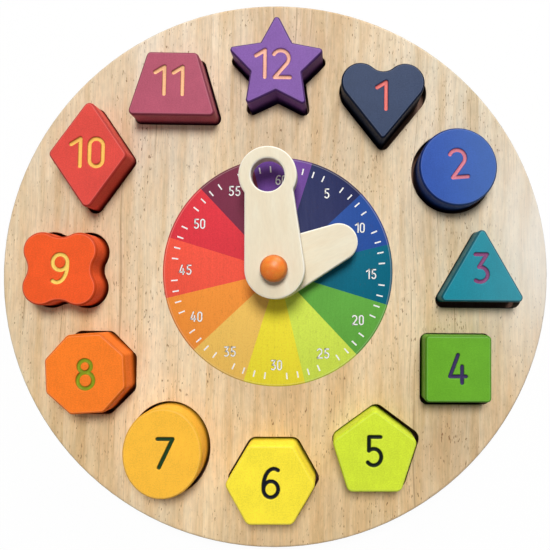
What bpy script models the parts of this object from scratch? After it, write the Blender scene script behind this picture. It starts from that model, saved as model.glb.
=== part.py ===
"""A wooden learning clock: a round board with twelve number blocks in recesses of their own
shapes, and two hands on a turned peg.

The board lies on its back. The origin is the middle of its back face, +Z points out of the
dial and +Y points at twelve o'clock. Lengths are in metres.
"""

import math

import bmesh
import bpy
from mathutils import Matrix, Vector

MM = 0.001

# Board: a thick face with the recesses cut through it, glued to a thin back panel
BOARD_DIAMETER = 280 * MM
FACE_THICKNESS = 9 * MM
BACK_THICKNESS = 3 * MM
FACE_EDGE_ROUND = 1.5 * MM
BACK_EDGE_ROUND = 0.8 * MM
SEAT_GAP = 0.3 * MM
CUT_OVERRUN = 1 * MM

# Ring of blocks
RIM_TO_RING = 35.1 * MM
BLOCK_THICKNESS = 20 * MM
BLOCK_EDGE_ROUND = 1.2 * MM
RECESS_CLEARANCE = 1.7 * MM
CORNER_RADIUS = 3.5 * MM
HEART_TIP_RADIUS = 1.8 * MM
VALLEY_RADIUS = 1 * MM

# Block shapes, flat sides and points measured before the corners are rounded
CIRCLE_DIAMETER = 39.5 * MM
TRIANGLE_SIDE = 44.2 * MM
SQUARE_SIDE = 33 * MM
PENTAGON_RADIUS = 22.1 * MM
HEXAGON_ACROSS_FLATS = 38.4 * MM
OVAL_WIDTH = 38.6 * MM
OVAL_HEIGHT = 44 * MM
OCTAGON_ACROSS_FLATS = 38.7 * MM
FLOWER_WIDTH = 36 * MM
FLOWER_LOBE_SHARE = 0.25
FLOWER_NOTCH_DEPTH = 2.3 * MM
RHOMBUS_WIDTH = 39.2 * MM
RHOMBUS_HEIGHT = 56.5 * MM
TRAPEZOID_BASE = 44.2 * MM
TRAPEZOID_TOP = 24.8 * MM
TRAPEZOID_HEIGHT = 32.1 * MM
STAR_TIP_RADIUS = 26.3 * MM
STAR_VALLEY_RADIUS = 13.6 * MM
HEART_LOBE_RADIUS = 9.8 * MM
HEART_LOBE_SPACING = 22.6 * MM
HEART_NOTCH_RISE = 5.7 * MM
HEART_TIP_DROP = 26.8 * MM

# Engraved numerals
NUMERAL_HEIGHT = 15.6 * MM
NUMERAL_STROKE = 1.9 * MM
NUMERAL_DEPTH = 0.9 * MM

# Hands, flat and cut from the same stock
HAND_THICKNESS = 7 * MM
HAND_EDGE_ROUND = 0.9 * MM
MINUTE_BASE_RADIUS = 14.6 * MM
MINUTE_REACH = 46 * MM
MINUTE_HEAD_RADIUS = 14.2 * MM
MINUTE_NECK_RADIUS = 11.2 * MM
MINUTE_NECK_FILLET = 2 * MM
FINGER_HOLE_DIAMETER = 16.3 * MM
HOUR_BASE_RADIUS = 14.6 * MM
HOUR_REACH = 34.2 * MM
HOUR_TIP_RADIUS = 9.5 * MM

# Pivot: a turned peg glued in the board, with a screw up into it from behind
STEM_DIAMETER = 8 * MM
KNOB_DIAMETER = 13.2 * MM
KNOB_HEIGHT = 6 * MM
KNOB_SKIRT = 1.4 * MM
WASHER_DIAMETER = 12 * MM
WASHER_THICKNESS = 0.8 * MM
SCREW_DIAMETER = 3.5 * MM
SCREW_HEAD_DIAMETER = 7 * MM
SCREW_LENGTH = 16 * MM
SCREW_SINK = 0.2 * MM
SCREW_DRIVE_DIAMETER = 2.8 * MM
SCREW_DRIVE_DEPTH = 1.2 * MM

# Rest pose of the hands, in degrees clockwise from twelve
MINUTE_ANGLE = -5
HOUR_ANGLE = 65

CORNER_STEPS = 4
NOTCH_STEPS = 8
LOBE_STEPS = 14
ROUND_STEPS = 48
BOARD_STEPS = 128
BORE_STEPS = 24
STROKE_CAP_STEPS = 5
SMOOTH_ANGLE = math.radians(40)

# Heights and places that follow from the sizes above
FACE_BOTTOM = BACK_THICKNESS + SEAT_GAP
FACE_TOP = FACE_BOTTOM + FACE_THICKNESS
BLOCK_BOTTOM = BACK_THICKNESS + SEAT_GAP
WASHER_PITCH = WASHER_THICKNESS + 2 * SEAT_GAP
HOUR_BOTTOM = FACE_TOP + WASHER_PITCH
MINUTE_BOTTOM = HOUR_BOTTOM + HAND_THICKNESS + WASHER_PITCH
KNOB_BOTTOM = MINUTE_BOTTOM + HAND_THICKNESS + WASHER_PITCH
RING_RADIUS = BOARD_DIAMETER / 2 - RIM_TO_RING
STEM_BORE = STEM_DIAMETER + 2 * SEAT_GAP

# Where each recess lies off its even place on the ring, in shares of the ring's radius
RECESS_PLACE_SHARES = {
    1: (0.009, -0.058), 2: (-0.011, -0.003), 3: (-0.015, 0.027), 4: (0.006, 0.028),
    5: (-0.016, 0.001), 6: (-0.009, -0.001), 7: (-0.014, 0.006), 8: (-0.012, 0.001),
    9: (-0.007, -0.005), 10: (-0.029, 0.031), 11: (-0.004, 0.016), 12: (-0.012, -0.022),
}

# How closely each recess fits its block, in shares of the widest clearance
CLEARANCE_SHARES = {1: 1, 2: 0.85, 3: 1, 4: 1, 5: 0.95, 6: 0.75, 7: 0.85, 8: 0.9, 9: 0.75, 10: 0.6,
                    11: 0.55, 12: 0.75}

# How round each block's corners are, in shares of the roundest
CORNER_SHARES = {3: 0.65, 4: 0.6, 5: 0.95, 6: 1, 8: 0.8, 10: 0.85, 11: 0.7, 12: 0.5}

# Where each block rests in its recess, in shares of its free play
REST_PLACE_SHARES = {
    1: (-0.6, 0.75), 2: (0.75, 0.5), 3: (-0.55, 0.95), 4: (-0.6, 0.95),
    5: (-0.95, 0.35), 6: (-0.37, 0.21), 7: (0.09, 0.3), 8: (0.3, 0.6),
    9: (0.05, -0.05), 10: (0.6, 0.7), 11: (-0.2, -0.1), 12: (-0.05, 0.9),
}

# How far each block is turned in its recess, in degrees anticlockwise
REST_TURN = {2: 5, 8: 4}

# Where each numeral lies off the middle of its block, in shares of the numeral's height
NUMERAL_PLACE_SHARES = {
    1: (-0.05, 0.16), 2: (0.02, 0.10), 3: (-0.03, -0.15), 4: (-0.02, 0.0), 5: (-0.02, 0.12),
    6: (0.02, 0.06), 7: (0.09, 0.01), 8: (0.0, -0.02), 9: (0.01, 0.01), 10: (-0.03, 0.06),
    11: (-0.10, 0.10), 12: (-0.10, 0.0),
}

BLOCK_COLOURS = {
    1: (0.060, 0.090, 0.160), 2: (0.045, 0.115, 0.480), 3: (0.026, 0.300, 0.370),
    4: (0.153, 0.456, 0.032), 5: (0.620, 0.770, 0.036), 6: (0.960, 0.750, 0.042),
    7: (0.970, 0.510, 0.047), 8: (0.960, 0.205, 0.021), 9: (0.910, 0.102, 0.023),
    10: (0.768, 0.058, 0.061), 11: (0.479, 0.084, 0.168), 12: (0.254, 0.114, 0.462),
}


def arc(centre, radii, start, end, steps):
    """Points on an arc with the given half-axes, between two angles in degrees, ends included."""
    points = []
    for i in range(steps + 1):
        angle = math.radians(start + (end - start) * i / steps)
        points.append(Vector((centre[0] + radii[0] * math.cos(angle),
                              centre[1] + radii[1] * math.sin(angle))))
    return points


def circle(diameter, steps=ROUND_STEPS):
    """A closed round outline."""
    return arc((0, 0), (diameter / 2, diameter / 2), 0, 360, steps)[:-1]


def degrees_of(vector):
    return math.degrees(math.atan2(vector[1], vector[0]))


def rounded_polygon(number, corners, grow):
    """A block's anticlockwise polygon with its sides moved out by grow and an arc at each corner."""
    points = []
    radius = CORNER_RADIUS * CORNER_SHARES[number]
    for i, corner in enumerate(corners):
        before = (corner - corners[i - 1]).normalized()
        after = (corners[(i + 1) % len(corners)] - corner).normalized()
        normal = Vector((before.y, -before.x))
        next_normal = Vector((after.y, -after.x))
        bisector = (normal + next_normal).normalized()
        reach = 1 / bisector.dot(normal)
        turn = math.degrees(math.atan2(before.cross(after), before.dot(after)))
        side = 1 if turn > 0 else -1
        corner_radius = radius + grow if turn > 0 else VALLEY_RADIUS
        centre = corner + bisector * reach * (grow - side * corner_radius)
        start = degrees_of(normal * side)
        points += arc(centre, (corner_radius, corner_radius), start, start + turn, CORNER_STEPS)
    return points


def regular_corners(count, radius, first_angle, inner_radius=None):
    """Corners of a regular polygon, or of a star where inner_radius is given."""
    corners = []
    for i in range(count):
        angle = math.radians(first_angle + 360 * i / count)
        corners.append(Vector((math.cos(angle), math.sin(angle))) * radius)
        if inner_radius:
            angle += math.pi / count
            corners.append(Vector((math.cos(angle), math.sin(angle))) * inner_radius)
    return corners


def notch_radius(across, rise, lobe_radius):
    """Radius of the hollow arc that meets two lobes smoothly, its bottom at height rise above
    the lobes' middles, which lie at across to each side."""
    return (across ** 2 + rise ** 2 - lobe_radius ** 2) / (2 * (lobe_radius - rise))


def heart_outline(grow):
    across = HEART_LOBE_SPACING / 2
    hollow = notch_radius(across, HEART_NOTCH_RISE, HEART_LOBE_RADIUS)
    notch = Vector((0, HEART_NOTCH_RISE + hollow))
    tip = Vector((0, -HEART_TIP_DROP))
    lobe = Vector((across, 0))
    along = lobe - tip
    lean = math.degrees(math.acos((HEART_TIP_RADIUS - HEART_LOBE_RADIUS) / along.length))
    side = degrees_of(along) - lean
    meet = degrees_of(notch - lobe)
    lobe_radii = (HEART_LOBE_RADIUS + grow,) * 2
    tip_radii = (HEART_TIP_RADIUS + grow,) * 2
    notch_radii = (hollow - grow,) * 2
    points = arc(lobe, lobe_radii, side, meet, LOBE_STEPS)
    points += arc(notch, notch_radii, meet - 180, -meet, NOTCH_STEPS)[1:-1]
    points += arc(-lobe, lobe_radii, 180 - meet, 180 - side, LOBE_STEPS)
    points += arc(tip, tip_radii, 180 - side, 360 + side, CORNER_STEPS)
    middle = Vector((0, (HEART_LOBE_RADIUS - HEART_TIP_DROP - HEART_TIP_RADIUS) / 2))
    return [point - middle for point in points]


def circle_outline(grow):
    return circle(CIRCLE_DIAMETER + 2 * grow)


def triangle_outline(grow):
    across = TRIANGLE_SIDE / 2
    up = TRIANGLE_SIDE * math.sqrt(3) / 4
    corners = [Vector((0, up)), Vector((-across, -up)), Vector((across, -up))]
    return rounded_polygon(3, corners, grow)


def square_outline(grow):
    return rounded_polygon(4, regular_corners(4, SQUARE_SIDE / math.sqrt(2), 45), grow)


def pentagon_outline(grow):
    return rounded_polygon(5, regular_corners(5, PENTAGON_RADIUS, 90), grow)


def hexagon_outline(grow):
    radius = HEXAGON_ACROSS_FLATS / 2 / math.cos(math.pi / 6)
    return rounded_polygon(6, regular_corners(6, radius, 0), grow)


def oval_outline(grow):
    return arc((0, 0), (OVAL_WIDTH / 2 + grow, OVAL_HEIGHT / 2 + grow), 0, 360, ROUND_STEPS)[:-1]


def octagon_outline(grow):
    radius = OCTAGON_ACROSS_FLATS / 2 / math.cos(math.pi / 8)
    return rounded_polygon(8, regular_corners(8, radius, 22.5), grow)


def flower_outline(grow):
    lobe_radius = FLOWER_WIDTH * FLOWER_LOBE_SHARE
    across = FLOWER_WIDTH / 2 - lobe_radius
    rise = FLOWER_WIDTH / 2 - FLOWER_NOTCH_DEPTH - across
    hollow = notch_radius(across, rise, lobe_radius)
    lobe = Vector((across, across))
    notch = Vector((0, across + rise + hollow))
    meet = degrees_of(notch - lobe)
    quarter = arc(lobe, (lobe_radius + grow,) * 2, 90 - meet, meet, LOBE_STEPS)
    quarter += arc(notch, (hollow - grow,) * 2, meet - 180, -meet, NOTCH_STEPS)[1:-1]
    return [Matrix.Rotation(math.pi / 2 * i, 2) @ point for i in range(4) for point in quarter]


def rhombus_outline(grow):
    across, up = RHOMBUS_WIDTH / 2, RHOMBUS_HEIGHT / 2
    corners = [Vector((across, 0)), Vector((0, up)), Vector((-across, 0)), Vector((0, -up))]
    return rounded_polygon(10, corners, grow)


def trapezoid_outline(grow):
    base, top, up = TRAPEZOID_BASE / 2, TRAPEZOID_TOP / 2, TRAPEZOID_HEIGHT / 2
    corners = [Vector((base, -up)), Vector((top, up)), Vector((-top, up)), Vector((-base, -up))]
    return rounded_polygon(11, corners, grow)


def star_outline(grow):
    corners = regular_corners(5, STAR_TIP_RADIUS, 90, STAR_VALLEY_RADIUS)
    return rounded_polygon(12, corners, grow)


OUTLINES = {
    1: heart_outline, 2: circle_outline, 3: triangle_outline, 4: square_outline,
    5: pentagon_outline, 6: hexagon_outline, 7: oval_outline, 8: octagon_outline,
    9: flower_outline, 10: rhombus_outline, 11: trapezoid_outline, 12: star_outline,
}


def unit_arc(centre_share, radius_share, start, end, steps=9):
    """Part of a numeral's centre line, in shares of the line's height."""
    return arc(centre_share, radius_share, start, end, steps)


def glyph_strokes(digit):
    """Centre lines of a digit's strokes in shares of its height, and whether each is a loop.

    The foot of the digit is at 0 and its head at 1.
    """
    bowl = unit_arc((0, 0.28), (0.26, 0.28), 0, 360, 18)[:-1]
    tail = unit_arc((0.10, 0.40), (0.36, 0.60), 66, 180) + [Vector((-0.26, 0.28))]
    if digit == "0":
        ends = unit_arc((0, 0.76), (0.24, 0.24), 0, 180) + unit_arc((0, 0.24), (0.24, 0.24), 180, 360)
        return [(ends, True)]
    if digit == "1":
        return [([(-0.33, 0.79), (0, 1)], False), ([(0, 1), (0, 0)], False)]
    if digit == "2":
        head = unit_arc((-0.04, 0.71), (0.29, 0.29), 150, -38)
        return [(head + [Vector((-0.26, 0))], False), ([(-0.26, 0), (0.30, 0)], False)]
    if digit == "3":
        foot = unit_arc((-0.05, 0.27), (0.28, 0.27), 98, -125)
        return [([(-0.22, 1), (0.20, 1)], False), ([(0.20, 1), (-0.09, 0.54)], False), (foot, False)]
    if digit == "4":
        return [([(0, 1), (-0.29, 0.23)], False), ([(-0.29, 0.23), (0.29, 0.23)], False),
                ([(0.15, 0.59), (0.15, 0)], False)]
    if digit == "5":
        foot = unit_arc((-0.02, 0.29), (0.27, 0.29), 130, -140)
        return [([(-0.19, 1), (0.22, 1)], False), ([(-0.19, 1), (-0.19, 0.51)], False), (foot, False)]
    if digit == "6":
        return [(bowl, True), (tail, False)]
    if digit == "7":
        return [([(-0.27, 1), (0.26, 1)], False), ([(0.26, 1), (-0.20, 0)], False)]
    if digit == "8":
        head = unit_arc((0, 0.785), (0.215, 0.215), 0, 360, 16)[:-1]
        foot = unit_arc((0, 0.285), (0.275, 0.285), 0, 360, 18)[:-1]
        return [(head, True), (foot, True)]
    turned = [([Vector((-x, 1 - y)) for x, y in line], loop) for line, loop in glyph_strokes("6")]
    return turned


DIGIT_SPAN_SHARES = {"0": (-0.24, 0.24), "1": (-0.33, 0), "2": (-0.29, 0.30)}
DIGIT_SPACE_SHARE = 0.33


def numeral_strokes(number):
    """Centre lines of a whole numeral about its middle, in metres, and whether each is a loop."""
    line_height = NUMERAL_HEIGHT - NUMERAL_STROKE
    digits = str(number)
    strokes = []
    pen = 0
    for digit in digits:
        left, right = DIGIT_SPAN_SHARES.get(digit, (0, 0)) if len(digits) > 1 else (0, 0)
        for line, loop in glyph_strokes(digit):
            strokes.append(([Vector((x + pen - left, y - 0.5)) for x, y in line], loop))
        pen += right - left + DIGIT_SPACE_SHARE
    middle = (pen - DIGIT_SPACE_SHARE) / 2 if len(digits) > 1 else 0
    if digits == "1":
        middle = sum(DIGIT_SPAN_SHARES["1"]) / 2
    shift = Vector(NUMERAL_PLACE_SHARES[number]) * NUMERAL_HEIGHT
    return [([Vector((x - middle, y)) * line_height + shift for x, y in line], loop)
            for line, loop in strokes]


def ribbon_outline(line, width):
    """The outline of a stroke of even width with round ends, along an open centre line."""
    reach = width / 2
    left, right = [], []
    for i, point in enumerate(line):
        before = (point - line[max(i - 1, 0)]).normalized()
        after = (line[min(i + 1, len(line) - 1)] - point).normalized()
        along = (before + after).normalized()
        across = Vector((-along.y, along.x))
        stretch = reach / max(across.dot(Vector((-after.y, after.x))), 0.5) if after.length else reach
        left.append(point + across * stretch)
        right.append(point - across * stretch)
    start = degrees_of(left[0] - line[0])
    end = degrees_of(right[-1] - line[-1])
    cap_start = arc(line[0], (reach, reach), start, start + 180, STROKE_CAP_STEPS)[1:-1]
    cap_end = arc(line[-1], (reach, reach), end, end + 180, STROKE_CAP_STEPS)[1:-1]
    return right + cap_end + left[::-1] + cap_start


def loop_side(line, offset):
    """A closed centre line moved sideways by offset, outward where it runs anticlockwise."""
    points = []
    for i, point in enumerate(line):
        along = (line[(i + 1) % len(line)] - line[i - 1]).normalized()
        points.append(point + Vector((along.y, -along.x)) * offset)
    return points


def material(name, colour, roughness, metallic=0):
    """A plain surface of one colour."""
    made = bpy.data.materials.new(name)
    made.use_nodes = True
    shader = made.node_tree.nodes["Principled BSDF"]
    shader.inputs["Base Color"].default_value = (*colour, 1)
    shader.inputs["Roughness"].default_value = roughness
    shader.inputs["Metallic"].default_value = metallic
    made.diffuse_color = (*colour, 1)
    return made


def add_object(name, bm, surface=None):
    """Puts a finished mesh in the scene, with its round sides shaded smooth."""
    bmesh.ops.recalc_face_normals(bm, faces=bm.faces)
    mesh = bpy.data.meshes.new(name)
    bm.to_mesh(mesh)
    bm.free()
    mesh.shade_smooth()
    mesh.set_sharp_from_angle(angle=SMOOTH_ANGLE)
    if surface:
        mesh.materials.append(surface)
    made = bpy.data.objects.new(name, mesh)
    bpy.context.collection.objects.link(made)
    return made


def prism(name, outline, bottom, top, surface=None, round_top=0, round_bottom=0, segments=2):
    """An outline extruded between two heights, with its top and bottom edges rounded."""
    bm = bmesh.new()
    face = bm.faces.new([bm.verts.new((*point, bottom)) for point in outline])
    lifted = bmesh.ops.extrude_face_region(bm, geom=[face])
    verts = [item for item in lifted["geom"] if isinstance(item, bmesh.types.BMVert)]
    bmesh.ops.translate(bm, vec=(0, 0, top - bottom), verts=verts)
    for height, radius in ((top, round_top), (bottom, round_bottom)):
        if radius:
            rim = [edge for edge in bm.edges if all(abs(v.co.z - height) < SEAT_GAP / 2 for v in edge.verts)]
            bmesh.ops.bevel(bm, geom=rim, offset=radius, segments=segments, profile=0.5,
                            affect="EDGES", clamp_overlap=False)
    return add_object(name, bm, surface)


def ring_prism(name, line, width, bottom, top):
    """A closed stroke of even width, extruded between two heights."""
    bm = bmesh.new()
    rings = [[bm.verts.new((*point, height)) for point in loop_side(line, offset)]
             for height in (bottom, top) for offset in (width / 2, -width / 2)]
    outer_low, inner_low, outer_high, inner_high = rings
    for first, second in ((outer_low, outer_high), (outer_high, inner_high),
                          (inner_high, inner_low), (inner_low, outer_low)):
        for i in range(len(line)):
            bm.faces.new((first[i - 1], first[i], second[i], second[i - 1]))
    return add_object(name, bm)


def lathe(name, profile, surface=None, closed=False, steps=BORE_STEPS):
    """A turned piece: points of (radius, height) spun round the Z axis."""
    bm = bmesh.new()
    verts = [bm.verts.new((radius, 0, height)) for radius, height in profile]
    edges = [bm.edges.new(pair) for pair in zip(verts, verts[1:])]
    if closed:
        edges.append(bm.edges.new((verts[-1], verts[0])))
    bmesh.ops.spin(bm, geom=verts + edges, cent=(0, 0, 0), axis=(0, 0, 1),
                   angle=math.tau, steps=steps, use_merge=True)
    bmesh.ops.remove_doubles(bm, verts=bm.verts, dist=SEAT_GAP / 100)
    return add_object(name, bm, surface)


def cut(target, cutter):
    """Cuts one shape out of another and keeps the cutter as a wire guide."""
    cutter.hide_render = True
    cutter.display_type = "WIRE"
    boolean = target.modifiers.new("cut " + cutter.name, "BOOLEAN")
    boolean.operation = "DIFFERENCE"
    boolean.object = cutter


def bore(target, name, diameter, bottom, top, centre=(0, 0)):
    """Cuts a round hole right through a piece that lies between two heights."""
    steps = ROUND_STEPS if diameter > STEM_BORE else BORE_STEPS
    cutter = prism(name, circle(diameter, steps), bottom - CUT_OVERRUN, top + CUT_OVERRUN)
    cutter.location.xy = centre
    cutter.parent = target
    cut(target, cutter)


def round_rims(target, radius):
    """Rounds the rims of a cut piece, holes included."""
    bevel = target.modifiers.new("rounded rims", "BEVEL")
    bevel.width = radius
    bevel.segments = 2
    bevel.limit_method = "ANGLE"
    bevel.angle_limit = math.radians(60)
    bevel.use_clamp_overlap = False


def recess_centre(number):
    """The middle of a recess: its even place on the ring, and its share of a shift."""
    angle = math.radians(90 - 30 * number)
    return (Vector((math.cos(angle), math.sin(angle))) + Vector(RECESS_PLACE_SHARES[number])) * RING_RADIUS


def recess_clearance(number):
    return RECESS_CLEARANCE * CLEARANCE_SHARES[number]


def make_face_board(surface):
    board = prism("face_board", circle(BOARD_DIAMETER, BOARD_STEPS), FACE_BOTTOM, FACE_TOP, surface,
                  round_top=FACE_EDGE_ROUND)
    for number, outline in OUTLINES.items():
        opening = prism(f"recess_{number:02d}", outline(recess_clearance(number)),
                        FACE_BOTTOM - CUT_OVERRUN, FACE_TOP + CUT_OVERRUN)
        opening.location.xy = recess_centre(number)
        cut(board, opening)
    bore(board, "stem_bore", STEM_BORE, FACE_BOTTOM, FACE_TOP)
    return board


def screw_profile(grow):
    """Half of the countersunk screw's side, from its flat head up to its blunt end."""
    head, shank = SCREW_HEAD_DIAMETER / 2 + grow, SCREW_DIAMETER / 2 + grow
    cone = SCREW_HEAD_DIAMETER / 2 - SCREW_DIAMETER / 2
    foot = SCREW_SINK - grow
    point = SCREW_DIAMETER / 4
    return [(0, foot), (head, foot), (shank, foot + cone), (shank, SCREW_LENGTH - point),
            (shank - point, SCREW_LENGTH + grow), (0, SCREW_LENGTH + grow)]


def make_back_panel(surface):
    panel = prism("back_panel", circle(BOARD_DIAMETER, BOARD_STEPS), 0, BACK_THICKNESS, surface,
                  round_bottom=BACK_EDGE_ROUND)
    profile = screw_profile(SEAT_GAP)
    profile[0:1] = [(0, -CUT_OVERRUN), (profile[1][0], -CUT_OVERRUN)]
    cut(panel, lathe("screw_hole", profile))
    return panel


def make_block(number, surface):
    """A number block: its outline extruded, its rims rounded and its numeral engraved."""
    top = BLOCK_THICKNESS
    block = prism(f"block_{number:02d}", OUTLINES[number](0), 0, top, surface,
                  round_top=BLOCK_EDGE_ROUND, round_bottom=BLOCK_EDGE_ROUND)
    play = recess_clearance(number) - SEAT_GAP
    block.location.xy = recess_centre(number) + Vector(REST_PLACE_SHARES[number]) * play
    block.location.z = BLOCK_BOTTOM
    block.rotation_euler.z = math.radians(REST_TURN.get(number, 0))
    for i, (line, loop) in enumerate(numeral_strokes(number)):
        name = f"groove_{number:02d}_{i}"
        low, high = top - NUMERAL_DEPTH, top + CUT_OVERRUN
        if loop:
            groove = ring_prism(name, line, NUMERAL_STROKE, low, high)
        else:
            groove = prism(name, ribbon_outline(line, NUMERAL_STROKE), low, high)
        groove.parent = block
        cut(block, groove)
    return block


def hand_side(base_radius, tip_centre, tip_radius):
    """The direction, in degrees, that a hand's right side faces between its two ends."""
    lean = math.degrees(math.acos((base_radius - tip_radius) / tip_centre.length))
    return degrees_of(tip_centre) - lean


def hour_hand_outline():
    tip = Vector((0, HOUR_REACH))
    side = hand_side(HOUR_BASE_RADIUS, tip, HOUR_TIP_RADIUS)
    points = arc(tip, (HOUR_TIP_RADIUS,) * 2, side, 180 - side, LOBE_STEPS)
    points += arc((0, 0), (HOUR_BASE_RADIUS,) * 2, 180 - side, 360 + side, LOBE_STEPS)
    return points


def minute_hand_outline():
    """A tapered body under a round head, with a hollow fillet where they meet on each side."""
    head = Vector((0, MINUTE_REACH))
    side = hand_side(MINUTE_BASE_RADIUS, head, MINUTE_NECK_RADIUS)
    facing = Vector((math.cos(math.radians(side)), math.sin(math.radians(side))))
    along = Vector((-facing.y, facing.x))
    fillet_side = MINUTE_NECK_RADIUS + MINUTE_NECK_FILLET
    fillet_reach = MINUTE_HEAD_RADIUS + MINUTE_NECK_FILLET
    back = math.sqrt(fillet_reach ** 2 - fillet_side ** 2)
    fillet = head + facing * fillet_side - along * back
    meet = degrees_of(fillet - head)
    fillet_radii = (MINUTE_NECK_FILLET,) * 2
    points = arc(fillet, fillet_radii, side + 180, meet + 180, CORNER_STEPS)
    points += arc(head, (MINUTE_HEAD_RADIUS,) * 2, meet, 180 - meet, 2 * LOBE_STEPS)[1:-1]
    mirrored = Vector((-fillet.x, fillet.y))
    points += arc(mirrored, fillet_radii, -meet, -side, CORNER_STEPS)
    points += arc((0, 0), (MINUTE_BASE_RADIUS,) * 2, 180 - side, 360 + side, LOBE_STEPS)
    return points


def make_hand(name, outline, bottom, angle, surface, finger_hole=False):
    hand = prism(name, outline, 0, HAND_THICKNESS, surface)
    bore(hand, name + "_bore", STEM_BORE, 0, HAND_THICKNESS)
    if finger_hole:
        bore(hand, "finger_hole", FINGER_HOLE_DIAMETER, 0, HAND_THICKNESS, (0, MINUTE_REACH))
    round_rims(hand, HAND_EDGE_ROUND)
    hand.location.z = bottom
    hand.rotation_euler.z = math.radians(-angle)
    return hand


def make_washer(name, bottom, surface):
    inner, outer = STEM_BORE / 2, WASHER_DIAMETER / 2
    top = WASHER_THICKNESS
    washer = lathe(name, [(inner, 0), (outer, 0), (outer, top), (inner, top)], surface, closed=True)
    washer.location.z = bottom
    return washer


def make_pivot_knob(surface):
    """A domed knob on a stem that reaches down through the hands to the back panel."""
    stem, knob = STEM_DIAMETER / 2, KNOB_DIAMETER / 2
    foot = FACE_BOTTOM
    dome = arc((0, KNOB_BOTTOM + KNOB_SKIRT), (knob, KNOB_HEIGHT - KNOB_SKIRT), 0, 90, NOTCH_STEPS)
    profile = [(0, foot), (stem, foot), (stem, KNOB_BOTTOM), (knob, KNOB_BOTTOM)]
    profile += [tuple(point) for point in dome[:-1]] + [(0, KNOB_BOTTOM + KNOB_HEIGHT)]
    made = lathe("pivot_knob", profile, surface)
    cut(made, lathe("screw_pilot", screw_profile(SEAT_GAP)))
    return made


def make_pivot_screw(surface):
    """A countersunk screw, head down in the back panel, with a hexagon drive."""
    screw = lathe("pivot_screw", screw_profile(0), surface)
    drive = prism("screw_drive", circle(SCREW_DRIVE_DIAMETER, 6),
                  SCREW_SINK - CUT_OVERRUN, SCREW_SINK + SCREW_DRIVE_DEPTH)
    cut(screw, drive)
    return screw


def main():
    for thing in list(bpy.data.objects):
        bpy.data.objects.remove(thing)
    make_face_board(material("board wood", (0.70, 0.54, 0.34), 0.6))
    make_back_panel(material("plywood", (0.66, 0.50, 0.32), 0.65))
    for number, colour in BLOCK_COLOURS.items():
        make_block(number, material(f"block paint {number:02d}", colour, 0.45))
    hand_wood = material("hand wood", (0.86, 0.75, 0.55), 0.5)
    make_hand("hour_hand", hour_hand_outline(), HOUR_BOTTOM, HOUR_ANGLE, hand_wood)
    make_hand("minute_hand", minute_hand_outline(), MINUTE_BOTTOM, MINUTE_ANGLE, hand_wood,
              finger_hole=True)
    nylon = material("nylon", (0.80, 0.80, 0.76), 0.4)
    make_washer("washer_lower", FACE_TOP + SEAT_GAP, nylon)
    make_washer("washer_middle", MINUTE_BOTTOM - SEAT_GAP - WASHER_THICKNESS, nylon)
    make_washer("washer_upper", KNOB_BOTTOM - SEAT_GAP - WASHER_THICKNESS, nylon)
    make_pivot_knob(material("knob paint", (0.88, 0.22, 0.03), 0.35))
    make_pivot_screw(material("zinc plate", (0.60, 0.60, 0.58), 0.35, 1))


main()
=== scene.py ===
"""Looks of a wooden learning clock: a round board with twelve number blocks in recesses of
their own shapes, a printed minute dial, and two hands on a turned peg.

The file is laid out as an add-on, with one operator for each kind of piece, and is run as a
script. Lengths are in metres. The origin is the middle of the board's back face, +Z points out
of the dial and +Y points at twelve o'clock.
"""

import math
from collections import namedtuple

import bpy
import numpy as np
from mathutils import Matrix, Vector
from mathutils.geometry import tessellate_polygon


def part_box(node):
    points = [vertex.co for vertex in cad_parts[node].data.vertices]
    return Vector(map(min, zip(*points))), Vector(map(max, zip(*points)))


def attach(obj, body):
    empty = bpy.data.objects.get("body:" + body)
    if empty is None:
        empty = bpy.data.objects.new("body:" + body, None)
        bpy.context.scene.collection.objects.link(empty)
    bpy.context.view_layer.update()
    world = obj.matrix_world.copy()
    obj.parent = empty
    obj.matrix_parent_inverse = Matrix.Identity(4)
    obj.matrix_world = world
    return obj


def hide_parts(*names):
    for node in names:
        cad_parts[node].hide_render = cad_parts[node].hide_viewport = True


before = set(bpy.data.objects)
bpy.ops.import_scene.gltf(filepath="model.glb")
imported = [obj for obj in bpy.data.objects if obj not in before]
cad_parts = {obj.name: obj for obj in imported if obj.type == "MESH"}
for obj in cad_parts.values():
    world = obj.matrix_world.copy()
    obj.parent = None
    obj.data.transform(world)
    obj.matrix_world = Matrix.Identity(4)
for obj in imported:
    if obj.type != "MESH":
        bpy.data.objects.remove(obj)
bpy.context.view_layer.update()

bl_info = {
    "name": "Learning clock looks",
    "version": (1, 0, 0),
    "blender": (4, 5, 0),
    "location": "3D View > Sidebar > Learning clock",
    "description": "Builds the painted blocks, the dial, the hands and the wood of a learning "
                   "clock",
    "category": "Object",
}

MM = 0.001


def heights(node):
    """Heights of a solid's back and front ends."""
    return [corner.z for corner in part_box(node)]


# Sizes that the frame gives
FACE_BOTTOM, FACE_TOP = heights("face_board")
BLOCK_BOTTOM, BLOCK_TOP = heights("block_01")
BOARD_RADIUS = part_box("face_board")[1].x
KNOB_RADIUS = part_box("pivot_knob")[1].x
WASHER_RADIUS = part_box("washer_upper")[1].x

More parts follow.
